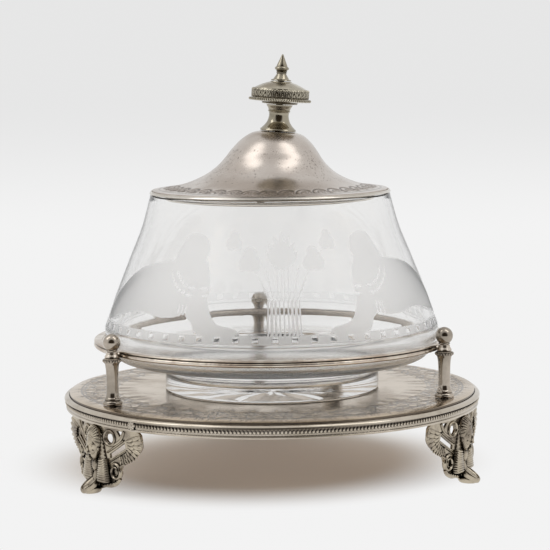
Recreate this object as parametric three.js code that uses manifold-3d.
// Covered sugar bowl: a lift-out glass bowl with a loose domed lid, standing inside
// a gallery ring on a round plated tray with three cast feet.
// Millimetres, +Z up. The origin is the centre of the tray on the floor.
// The three posts and the three feet stand at -60, +60 and 180 degrees,
// counted from the front (-Y) towards +X.

import * as THREE from 'three';
import { mergeVertices } from 'three/addons/utils/BufferGeometryUtils.js';
import Module from 'manifold-3d';

const wasm = await Module();
wasm.setup();

// General
const GAP = 0.3;
const RING_SIDES = 48;
const LID_SIDES = 36;
const TURNED_SIDES = 12;
const FINIAL_SIDES = 20;
const STATIONS = { left: -60, right: 60, back: 180 };

// Tray
const TRAY_RADIUS = 90;
const TRAY_TOP = 35.5;
const TRAY_FLAT_RADIUS = 84;
const PLATE_RADIUS = 87.6;
const PLATE_THICKNESS = 1.5;
const PLATE_EDGE_TOP = 34.2;
const PLATE_EDGE_BOTTOM = 32.8;

// Border round the tray's edge: a rounded moulding over a beaded band
const BORDER_BOTTOM = 28.5;
const BORDER_LEDGE_RADIUS = 85.4;
const BORDER_LEDGE_THICKNESS = 0.9;
const BORDER_BAND_HEIGHT = 31.4;
const ROSETTE_ANGLE = 16;
const ROSETTE_RADIUS = 2;

// Threaded studs, their clearance holes and their nuts
const STUD_RADIUS = 1.5;
const STUD_HOLE_RADIUS = 1.8;
const NUT_CORNER_RADIUS = 3.2;
const NUT_HEIGHT = 2.3;

// Posts
const POST_CIRCLE_RADIUS = 79.9;
const POST_BALL_RADIUS = 3.65;
const POST_BALL_HEIGHT = 26;
// Radius and height above the tray of a post from its foot to the top of its collar
const POST_OUTLINE = [
  [4.05, GAP], [4.05, 1.6], [3.6, 2.3], [3.3, 3.0], [2.6, 4.2], [2.5, 12.0],
  [2.9, 17.0], [3.75, 18.1], [3.75, 19.1], [3.1, 19.6],
];

// Gallery ring: two reeds side by side, with an eye for each post
const GALLERY_INNER_RADIUS = 73;
const GALLERY_OUTER_RADIUS = 76.8;
const GALLERY_BOTTOM = 19.3;
const GALLERY_GROOVE = 21.35;
const GALLERY_TOP = 22.3;
const EYE_RADIUS = 2.8;
const EYE_BOTTOM = 19.9;
const EYE_TOP = 22.2;
const LUG_WIDTH = 2.6;

// Glass bowl
const GLASS_WALL = 3;
const GLASS_FLOOR_THICKNESS = 5.5;
const GLASS_FOOT_RADIUS = 46.2;
const GLASS_STEP_HEIGHT = 12;
// Radius and height above the tray of the glass below and above its widest part
const GLASS_SHOULDER = [[55.6, 12], [61.8, 12.6], [66, 13.9], [68.9, 16.4], [71.1, 20.5], [72, 26.4]];
const GLASS_FLANK = [[71.9, 27.2], [70.4, 31.6], [67.1, 41], [60.2, 58.2], [55.3, 70.3], [51.8, 82.8]];
const GLASS_TOP = 84.1;

// Lid
const SHEET = 0.8;
const LID_SEAT = 119.9;
const LID_RADIUS = 51.9;
const LID_RIM_HEIGHT = 1.3;
const LID_RIM_LEDGE = 0.45;
const LID_RIM_INNER_RADIUS = 46.8;
const LID_EDGE_RADIUS = 50.6;
// Radius and height of the outside of the dome from its edge to the shelf under the finial
const DOME_OUTLINE = [
  [50.6, 121.5], [44.6, 122.2], [38.6, 123.4], [33, 125.4], [27.8, 128.1], [23.7, 131.4],
  [20.9, 134.6], [18.5, 138], [15.2, 141.9], [11.3, 144.9], [7.7, 146.1],
];
const BEZEL_RADIUS = 45.5;
const BEZEL_BOTTOM = 116.6;

// Finial, which leans a little: it is turned about a point on the bowl's axis. The dome is
// pushed over with it from its edge up, and tilted with it between two heights.
const LEAN_DEGREES = 4.2;
const LEAN_AZIMUTH_DEGREES = -4.5;
const LEAN_PIVOT = 96;
const TILT_START = 134;
const TILT_END = 142;
const SHELF = 146.1;
const ROD_BOTTOM = 140.8;
const ROD_TOP = 169.3;
const WASHER_RADIUS = 4.6;
const WASHER_THICKNESS = 0.8;
// Radius and height of each turned piece of the finial
const SOCLE_OUTLINE = [
  [7.7, 146.4], [7.7, 147.4], [6.7, 148.1], [5.6, 149.2], [4.5, 151.2], [4.2, 152.6],
  [4.5, 154.6], [5.5, 157.0], [5.5, 157.6],
];
const CAPITAL_OUTLINE = [
  [7.7, 157.9], [7.7, 158.5], [11.6, 158.9], [13.2, 159.2], [13.4, 159.7], [12.7, 160.5],
  [12.4, 161.2], [12.3, 163.6], [10.4, 165.0], [7.2, 166.5], [4.4, 167.5],
];
const SPIRE_OUTLINE = [
  [4.4, 167.8], [4.3, 168.3], [2.9, 169.2], [2.1, 170.9], [2.6, 172.0], [3.0, 172.9],
  [2.5, 174.4], [1.5, 176.6], [0.6, 178.6], [0, 179.2],
];

// Feet: a winged mask on a paw, cast in one piece. Places are given across the foot
// from its middle, outwards from the tray's axis, and up from the floor.
const FOOT_RADIUS = 87.7;
const WING_TURN_DEGREES = 9.2;
const WING_THICKNESS = 2.6;
const WING_TOP = 28.2;
const WING_OUTLINE = [
  [0, WING_TOP], [27.3, WING_TOP], [29.7, 23.6], [29.2, 21.2], [26.4, 18.2], [22.2, 15.4],
  [17.6, 13.8], [16.4, 11.6], [15.2, 8.2], [12.6, 6.7], [10.4, 5.0], [7, 3.8], [0, 3.4],
];
const WING_TRIANGLE = [[12.6, 27], [17, 27], [15.2, 24.6]];
const WING_SLOT = [[8.5, 15], [19.4, 20.9], [17.8, 23], [8.6, 17.3]];
const WING_LOOP = { middle: [10.2, 23.7], half_length: 3.8, half_height: 1.9 };
const VOLUTE = { middle: [12.7, 10.4], radius: 3.9, eye_radius: 0.9, thickness: 3.8 };
const LAPPET_OUTLINE = [[3, 15], [4.4, 25.5], [7.4, 16], [9.4, 5.4], [1.2, 5.2], [2, 10]];
const LAPPET_THICKNESS = 4.4;
const HEAD = { half_width: 3.6, half_depth: 3.2, half_height: 6.7, radius: 89, height: 19.9 };
const HAIR = { half_width: 4.7, half_depth: 3.2, half_height: 5.7, radius: 88.3, height: 22.5 };
const PAW = { half_width: 3.3, half_depth: 4.8, half_height: 4.6, radius: 87.8, height: 3 };
const LEG = { half_width: 1.7, radius: 86.4, bottom: 4, top: 15 };

// Bracket behind each foot, clamped under the tray by the post's stud and nut
const BRACKET_HALF_WIDTH = 4.5;
const BRACKET_RISER = { inner: 83.3, outer: 84.9 };
const BRACKET_ARM_BOTTOM = 24.4;
const BRACKET_PAD_INNER = 74.8;
const BRACKET_PAD = { bottom: 31.2, top: 33.4 };

// Materials
const plate = new THREE.MeshStandardMaterial({ color: 0xb9b1a6, roughness: 0.25, metalness: 1 });
const worn = new THREE.MeshStandardMaterial({ color: 0xa79a88, roughness: 0.38, metalness: 1 });
const antique = new THREE.MeshStandardMaterial({ color: 0x8f8468, roughness: 0.45, metalness: 1 });
const hardware = new THREE.MeshStandardMaterial({ color: 0xa08a5c, roughness: 0.5, metalness: 1 });
const glass = new THREE.MeshStandardMaterial({
  color: 0xe6ecec, roughness: 0.05, metalness: 0, transparent: true, opacity: 0.35,
});

// A geometry with shared vertices merged and triangles without area left out
function closed(geometry) {
  const bare = geometry.clone();
  bare.deleteAttribute('normal');
  bare.deleteAttribute('uv');
  const merged = mergeVertices(bare, 1e-4);
  const kept = [];
  for (let i = 0; i < merged.index.count; i += 3) {
    const [a, b, c] = [merged.index.getX(i), merged.index.getX(i + 1), merged.index.getX(i + 2)];
    if (a !== b && b !== c && c !== a) {
      kept.push(a, b, c);
    }
  }
  merged.setIndex(kept);
  return merged;
}

function toSolid(geometry) {
  const shell = closed(geometry);
  return new wasm.Manifold(new wasm.Mesh({
    numProp: 3,
    vertProperties: new Float32Array(shell.attributes.position.array),
    triVerts: new Uint32Array(shell.index.array),
  }));
}

function toGeometry(solid) {
  const mesh = solid.getMesh();
  const geometry = new THREE.BufferGeometry();
  geometry.setAttribute('position', new THREE.Float32BufferAttribute(mesh.vertProperties, 3));
  geometry.setIndex(new THREE.Uint32BufferAttribute(mesh.triVerts, 1));
  return geometry;
}

function makeMesh(name, geometry, material) {
  const shape = closed(geometry);
  shape.computeVertexNormals();
  const mesh = new THREE.Mesh(shape, material);
  mesh.name = name;
  return mesh;
}

// A body turned about Z. The outline runs anticlockwise as [radius, height].
function turned(outline, sides) {
  const points = outline.map(([r, z]) => new THREE.Vector2(r, z));
  return new THREE.LatheGeometry(points, sides).rotateX(Math.PI / 2);
}

// The same outline closed on itself, for a ring
function turnedRing(outline, sides) {
  return turned([...outline, outline[0]], sides);
}

function raised(outline, height) {
  return outline.map(([r, z]) => [r, z + height]);
}

function smooth(outline, divisions) {
  const curve = new THREE.SplineCurve(outline.map(([r, z]) => new THREE.Vector2(r, z)));
  return curve.getPoints(divisions).map((point) => [point.x, point.y]);
}

// The line moved sideways by a distance, to the left of its direction
function offset(outline, distance) {
  return outline.map(([r, z], i) => {
    const [r0, z0] = outline[Math.max(i - 1, 0)];
    const [r1, z1] = outline[Math.min(i + 1, outline.length - 1)];
    const length = Math.hypot(r1 - r0, z1 - z0);
    return [r - distance * (z1 - z0) / length, z + distance * (r1 - r0) / length];
  });
}

// A straight-sided cylinder standing on a height, with flat ends
function peg(radius, bottom, top, sides) {
  return new THREE.CylinderGeometry(radius, radius, top - bottom, sides)
    .rotateX(Math.PI / 2).translate(0, 0, (bottom + top) / 2);
}

function block(half_width, inner, outer, bottom, top) {
  return new THREE.BoxGeometry(2 * half_width, outer - inner, top - bottom)
    .translate(0, -(inner + outer) / 2, (bottom + top) / 2);
}

// An ellipsoid on the front radius, in the terms used for the feet
function lump({ half_width, half_depth, half_height, radius, height }, sides) {
  return new THREE.SphereGeometry(1, sides, sides / 2).rotateX(Math.PI / 2)
    .scale(half_width, half_depth, half_height).translate(0, -radius, height);
}

function atStation(geometry, degrees) {
  return geometry.rotateZ(THREE.MathUtils.degToRad(degrees));
}

function drilledAtPosts(solid, radius, bottom, top) {
  let result = solid;
  for (const degrees of Object.values(STATIONS)) {
    const drill = peg(radius, bottom, top, TURNED_SIDES).translate(0, -POST_CIRCLE_RADIUS, 0);
    result = result.subtract(toSolid(atStation(drill, degrees)));
  }
  return result;
}

function trayPlate() {
  const disc = turned([
    [0, TRAY_TOP - PLATE_THICKNESS],
    [TRAY_FLAT_RADIUS, TRAY_TOP - PLATE_THICKNESS],
    [PLATE_RADIUS, PLATE_EDGE_BOTTOM],
    [PLATE_RADIUS, PLATE_EDGE_TOP],
    [TRAY_FLAT_RADIUS, TRAY_TOP],
    [0, TRAY_TOP],
  ], RING_SIDES);
  const solid = drilledAtPosts(toSolid(disc), STUD_HOLE_RADIUS, TRAY_TOP - 5, TRAY_TOP + 5);
  return makeMesh('tray_plate', toGeometry(solid), plate);
}

function trayBorder() {
  const ledge = PLATE_EDGE_BOTTOM - GAP;
  const ring = turnedRing([
    [BORDER_LEDGE_RADIUS, ledge - BORDER_LEDGE_THICKNESS],
    [TRAY_RADIUS - 2.6, ledge - BORDER_LEDGE_THICKNESS],
    [TRAY_RADIUS - 2.6, BORDER_BOTTOM],
    [TRAY_RADIUS - 0.8, BORDER_BOTTOM],
    [TRAY_RADIUS - 0.8, BORDER_BOTTOM + 0.6],
    [TRAY_RADIUS - 1.2, BORDER_BOTTOM + 1.2],
    [TRAY_RADIUS - 0.2, BORDER_BAND_HEIGHT - 0.5],
    [TRAY_RADIUS - 0.2, BORDER_BAND_HEIGHT + 0.5],
    [TRAY_RADIUS - 0.6, BORDER_BAND_HEIGHT + 0.9],
    [TRAY_RADIUS, BORDER_BAND_HEIGHT + 1.6],
    [TRAY_RADIUS - 0.5, BORDER_BAND_HEIGHT + 2.4],
    [TRAY_RADIUS - 1.3, BORDER_BAND_HEIGHT + 2.8],
    [PLATE_RADIUS + GAP, BORDER_BAND_HEIGHT + 2.5],
    [PLATE_RADIUS + GAP, ledge],
    [BORDER_LEDGE_RADIUS, ledge],
  ], RING_SIDES);
  let solid = toSolid(ring);
  for (const degrees of Object.values(STATIONS)) {
    for (const side of [-1, 1]) {
      const rosette = new THREE.SphereGeometry(ROSETTE_RADIUS, 8, 4).scale(1, 0.8, 1)
        .translate(0, ROSETTE_RADIUS / 2 - TRAY_RADIUS, BORDER_BAND_HEIGHT - 0.6);
      solid = solid.add(toSolid(atStation(rosette, degrees + side * ROSETTE_ANGLE)));
    }
  }
  return makeMesh('tray_border', toGeometry(solid), plate);
}

function galleryRing() {
  const reeds = turnedRing(raised([
    [GALLERY_INNER_RADIUS, GALLERY_BOTTOM + 0.3],
    [GALLERY_INNER_RADIUS + 1, GALLERY_BOTTOM],
    [GALLERY_OUTER_RADIUS - 0.8, GALLERY_BOTTOM],
    [GALLERY_OUTER_RADIUS, GALLERY_BOTTOM + 1],
    [GALLERY_OUTER_RADIUS - 0.6, GALLERY_GROOVE],
    [GALLERY_OUTER_RADIUS - 0.1, GALLERY_GROOVE + 0.4],
    [GALLERY_OUTER_RADIUS - 0.8, GALLERY_TOP],
    [GALLERY_INNER_RADIUS, GALLERY_TOP - 0.2],
  ], TRAY_TOP), RING_SIDES);
  const [bottom, top] = [TRAY_TOP + EYE_BOTTOM, TRAY_TOP + EYE_TOP];
  let solid = toSolid(reeds);
  for (const degrees of Object.values(STATIONS)) {
    const eye = peg(EYE_RADIUS, bottom, top, TURNED_SIDES).translate(0, -POST_CIRCLE_RADIUS, 0);
    const lug = block(LUG_WIDTH / 2, GALLERY_INNER_RADIUS + 1, POST_CIRCLE_RADIUS, bottom, top);
    solid = solid.add(toSolid(atStation(eye, degrees))).add(toSolid(atStation(lug, degrees)));
  }
  solid = drilledAtPosts(solid, STUD_HOLE_RADIUS, bottom - 1, top + 1);
  return makeMesh('gallery_ring', toGeometry(solid), worn);
}

// A post's column in one piece with the stud below it and the stud above it
function postColumn(name) {
  const outline = raised(POST_OUTLINE, TRAY_TOP);
  const nut_bottom = BRACKET_PAD.bottom - GAP - NUT_HEIGHT;
  const stud_top = TRAY_TOP + POST_BALL_HEIGHT + 0.6;
  const geometry = turned([
    [0, nut_bottom - 0.5],
    [STUD_RADIUS, nut_bottom - 0.5],
    [STUD_RADIUS, outline[0][1]],
    ...outline,
    [STUD_RADIUS, outline[outline.length - 1][1]],
    [STUD_RADIUS, stud_top],
    [0, stud_top],
  ], TURNED_SIDES);
  return makeMesh(name, geometry.translate(0, -POST_CIRCLE_RADIUS, 0), plate);
}

// The ball screws down onto the ring's eye, over the upper stud
function postBall(name) {
  const middle = TRAY_TOP + POST_BALL_HEIGHT;
  const seat = TRAY_TOP + EYE_TOP + GAP;
  const neck = 2.4;
  const arc = [];
  const first = Math.asin(neck / POST_BALL_RADIUS);
  const steps = 7;
  for (let i = 0; i < steps; i += 1) {
    const angle = first + (Math.PI - first) * (i / steps);
    arc.push([POST_BALL_RADIUS * Math.sin(angle), middle - POST_BALL_RADIUS * Math.cos(angle)]);
  }
  const geometry = turned([
    [0, middle + 1],
    [STUD_HOLE_RADIUS, middle + 1],
    [STUD_HOLE_RADIUS, seat],
    [neck, seat],
    ...arc,
    [0, middle + POST_BALL_RADIUS],
  ], TURNED_SIDES);
  return makeMesh(name, geometry.translate(0, -POST_CIRCLE_RADIUS, 0), plate);
}

// A six-sided nut with a flat, not a corner, towards the outside
function hexNut(bottom) {
  const hexagon = peg(NUT_CORNER_RADIUS, bottom, bottom + NUT_HEIGHT, 6).rotateZ(Math.PI / 6);
  const bore = peg(STUD_HOLE_RADIUS, bottom - 1, bottom + NUT_HEIGHT + 1, TURNED_SIDES);
  return toSolid(hexagon).subtract(toSolid(bore));
}

function postNut(name) {
  const geometry = toGeometry(hexNut(BRACKET_PAD.bottom - GAP - NUT_HEIGHT));
  return makeMesh(name, geometry.translate(0, -POST_CIRCLE_RADIUS, 0), hardware);
}

// An outline as an anticlockwise shape, on the right (1) or mirrored to the left (-1)
function shapeOf(outline, side) {
  const points = outline.map(([across, up]) => new THREE.Vector2(side * across, up));
  return new THREE.Shape(THREE.ShapeUtils.isClockWise(points) ? points.reverse() : points);
}

// A flat shape as a plate of even thickness, standing across the front radius
function standingPlate(shape, thickness) {
  return new THREE.ExtrudeGeometry(shape, { depth: thickness, bevelEnabled: false })
    .rotateX(Math.PI / 2).translate(0, thickness / 2, 0);
}

function standingDisc(radius, thickness, across, up) {
  return new THREE.CylinderGeometry(radius, radius, thickness, TURNED_SIDES).translate(across, 0, up);
}

// One wing with its gaps, turned back to follow the tray's edge
function wing(side) {
  const shape = shapeOf(WING_OUTLINE, side);
  const loop = new THREE.Path();
  const [loop_across, loop_up] = WING_LOOP.middle;
  loop.absellipse(side * loop_across, loop_up, WING_LOOP.half_length, WING_LOOP.half_height, 0, 2 * Math.PI);
  shape.holes.push(shapeOf(WING_TRIANGLE, side), shapeOf(WING_SLOT, side), loop);
  const leaf = new THREE.ExtrudeGeometry(shape, { depth: WING_THICKNESS, bevelEnabled: false, curveSegments: 4 })
    .rotateX(Math.PI / 2).translate(0, WING_THICKNESS / 2, 0);
  const [across, up] = VOLUTE.middle;
  const volute = standingDisc(VOLUTE.radius, VOLUTE.thickness, side * across, up);
  const eye = standingDisc(VOLUTE.eye_radius, 3 * VOLUTE.thickness, side * across, up);
  return toSolid(leaf).add(toSolid(volute)).subtract(toSolid(eye))
    .rotate([0, 0, side * WING_TURN_DEGREES]).translate([0, -FOOT_RADIUS, 0]);
}

function foot(name) {
  let solid = toSolid(block(LEG.half_width, LEG.radius - 1.7, LEG.radius + 1.7, LEG.bottom, LEG.top));
  for (const side of [-1, 1]) {
    const lappet = standingPlate(shapeOf(LAPPET_OUTLINE, side), LAPPET_THICKNESS);
    solid = solid.add(wing(side)).add(toSolid(lappet.translate(0, -FOOT_RADIUS, 0)));
  }
  for (const part of [HEAD, HAIR, PAW]) {
    solid = solid.add(toSolid(lump(part, TURNED_SIDES)));
  }
  const { inner, outer } = BRACKET_RISER;
  const arm = block(BRACKET_HALF_WIDTH, inner, FOOT_RADIUS, BRACKET_ARM_BOTTOM, WING_TOP);
  const riser = block(BRACKET_HALF_WIDTH, inner, outer, WING_TOP - 1, BRACKET_PAD.top);
  const pad = block(BRACKET_HALF_WIDTH, BRACKET_PAD_INNER, outer, BRACKET_PAD.bottom, BRACKET_PAD.top);
  const hole = peg(STUD_HOLE_RADIUS, BRACKET_PAD.bottom - 1, BRACKET_PAD.top + 1, TURNED_SIDES)
    .translate(0, -POST_CIRCLE_RADIUS, 0);
  const below_floor = block(PAW.half_width * 2, PAW.radius - 10, PAW.radius + 10, -10, 0);
  solid = solid.add(toSolid(arm)).add(toSolid(riser)).add(toSolid(pad))
    .subtract(toSolid(hole)).subtract(toSolid(below_floor));
  return makeMesh(name, toGeometry(solid), antique);
}

function glassBowl() {
  const foot_step = [[GLASS_FOOT_RADIUS, GAP], [GLASS_FOOT_RADIUS, GLASS_STEP_HEIGHT]];
  const outside = [...smooth(GLASS_SHOULDER, 5), ...smooth(GLASS_FLANK, 4)];
  const inside = offset(outside, GLASS_WALL).reverse();
  const [lip_outer] = outside[outside.length - 1];
  const [lip_inner] = inside[0];
  const inner_foot = GLASS_FOOT_RADIUS - GLASS_WALL;
  const geometry = turned(raised([
    [0, GAP],
    ...foot_step,
    ...outside,
    [lip_outer - 0.6, GLASS_TOP],
    [lip_inner + 0.6, GLASS_TOP],
    ...inside,
    [inner_foot + 1, GLASS_STEP_HEIGHT + GLASS_WALL],
    [inner_foot, GLASS_STEP_HEIGHT + GLASS_WALL - 1],
    [inner_foot, GLASS_FLOOR_THICKNESS + 1.5],
    [inner_foot - 1.8, GLASS_FLOOR_THICKNESS],
    [0, GLASS_FLOOR_THICKNESS],
  ], TRAY_TOP), RING_SIDES);
  return makeMesh('glass_bowl', geometry, glass);
}

function leanAxis() {
  const azimuth = THREE.MathUtils.degToRad(LEAN_AZIMUTH_DEGREES);
  return new THREE.Vector3(-Math.sin(azimuth), Math.cos(azimuth), 0);
}

// A point turned with the finial
function leant(point) {
  const pivot = new THREE.Vector3(0, 0, LEAN_PIVOT);
  const lean = THREE.MathUtils.degToRad(LEAN_DEGREES);
  return point.clone().sub(pivot).applyAxisAngle(leanAxis(), lean).add(pivot);
}

// Bends the dome over, so that the shelf at its top meets the leaning finial squarely
function bentToLean(geometry) {
  const shape = closed(geometry);
  const position = shape.attributes.position;
  const edge = DOME_OUTLINE[0][1];
  for (let i = 0; i < position.count; i += 1) {
    const point = new THREE.Vector3().fromBufferAttribute(position, i);
    const push = THREE.MathUtils.clamp((point.z - edge) / (SHELF - SHEET - edge), 0, 1);
    const tilt = THREE.MathUtils.smoothstep(point.z, TILT_START, TILT_END);
    const shift = leant(new THREE.Vector3(0, 0, point.z)).setZ(0);
    const turn = leant(point).sub(point).sub(shift);
    point.addScaledVector(shift, push).addScaledVector(turn, tilt);
    position.setXYZ(i, point.x, point.y, point.z);
  }
  return shape;
}

function lidDome() {
  const outside = smooth(DOME_OUTLINE, DOME_OUTLINE.length - 1);
  const inside = offset(outside.slice(0, -1), SHEET).reverse();
  const under_shelf = SHELF - SHEET;
  const geometry = turnedRing([
    [LID_EDGE_RADIUS, inside[inside.length - 1][1]],
    ...outside,
    [STUD_HOLE_RADIUS, SHELF],
    [STUD_HOLE_RADIUS, under_shelf],
    [DOME_OUTLINE[DOME_OUTLINE.length - 1][0] - SHEET, under_shelf],
    ...inside.slice(0, -1),
  ], LID_SIDES);
  return makeMesh('lid_dome', bentToLean(geometry), plate);
}

function lidRim() {
  const ledge = LID_SEAT + LID_RIM_LEDGE;
  const top = LID_SEAT + LID_RIM_HEIGHT;
  const geometry = turnedRing([
    [LID_RIM_INNER_RADIUS, LID_SEAT],
    [LID_RADIUS - 0.5, LID_SEAT],
    [LID_RADIUS, LID_SEAT + 0.4],
    [LID_RADIUS, top - 0.4],
    [LID_RADIUS - 0.4, top],
    [LID_EDGE_RADIUS + GAP, top - 0.2],
    [LID_EDGE_RADIUS + GAP, ledge],
    [LID_RIM_INNER_RADIUS, ledge],
  ], LID_SIDES);
  return makeMesh('lid_rim', geometry, plate);
}

function lidBezel() {
  const top = LID_SEAT + 0.8;
  const geometry = turnedRing([
    [BEZEL_RADIUS - SHEET, BEZEL_BOTTOM],
    [BEZEL_RADIUS, BEZEL_BOTTOM],
    [BEZEL_RADIUS, top],
    [BEZEL_RADIUS - SHEET, top],
  ], LID_SIDES);
  return makeMesh('lid_bezel', geometry, plate);
}

// A finial piece with a hole for the rod right through it
function piercedPiece(name, outline, material) {
  const geometry = turnedRing([
    [STUD_HOLE_RADIUS, outline[0][1]],
    ...outline,
    [STUD_HOLE_RADIUS, outline[outline.length - 1][1]],
  ], FINIAL_SIDES);
  return makeMesh(name, geometry, material);
}

function finialSpire() {
  const geometry = turned([
    [0, ROD_TOP + GAP],
    [STUD_HOLE_RADIUS, ROD_TOP + GAP],
    [STUD_HOLE_RADIUS, SPIRE_OUTLINE[0][1]],
    ...SPIRE_OUTLINE,
  ], FINIAL_SIDES);
  return makeMesh('finial_spire', geometry, antique);
}

function finialPieces() {
  const washer_top = SHELF - SHEET - GAP;
  const washer_bottom = washer_top - WASHER_THICKNESS;
  const washer = [[WASHER_RADIUS, washer_bottom], [WASHER_RADIUS, washer_top]];
  const nut = toGeometry(hexNut(washer_bottom - GAP - NUT_HEIGHT));
  return [
    piercedPiece('finial_socle', SOCLE_OUTLINE, worn),
    piercedPiece('finial_capital', CAPITAL_OUTLINE, antique),
    finialSpire(),
    makeMesh('finial_rod', peg(STUD_RADIUS, ROD_BOTTOM, ROD_TOP, TURNED_SIDES), hardware),
    piercedPiece('finial_washer', washer, hardware),
    makeMesh('finial_nut', nut, hardware),
  ];
}

function buildStand() {
  const stand = new THREE.Group();
  stand.add(trayPlate(), trayBorder(), galleryRing());
  for (const [station, degrees] of Object.entries(STATIONS)) {
    const corner = new THREE.Group();
    corner.rotation.z = THREE.MathUtils.degToRad(degrees);
    corner.add(
      postColumn(`post_column_${station}`),
      postBall(`post_ball_${station}`),
      postNut(`post_nut_${station}`),
      foot(`foot_${station}`),
    );
    stand.add(corner);
  }
  return stand;
}

function buildLid() {
  const lid = new THREE.Group();
  lid.add(lidDome(), lidRim(), lidBezel());
  const finial = new THREE.Group();
  finial.position.z = LEAN_PIVOT;
  finial.setRotationFromAxisAngle(leanAxis(), THREE.MathUtils.degToRad(LEAN_DEGREES));
  for (const piece of finialPieces()) {
    piece.position.z = -LEAN_PIVOT;
    finial.add(piece);
  }
  lid.add(finial);
  return lid;
}

const group = new THREE.Group();
group.add(buildStand(), glassBowl(), buildLid());

export default group;
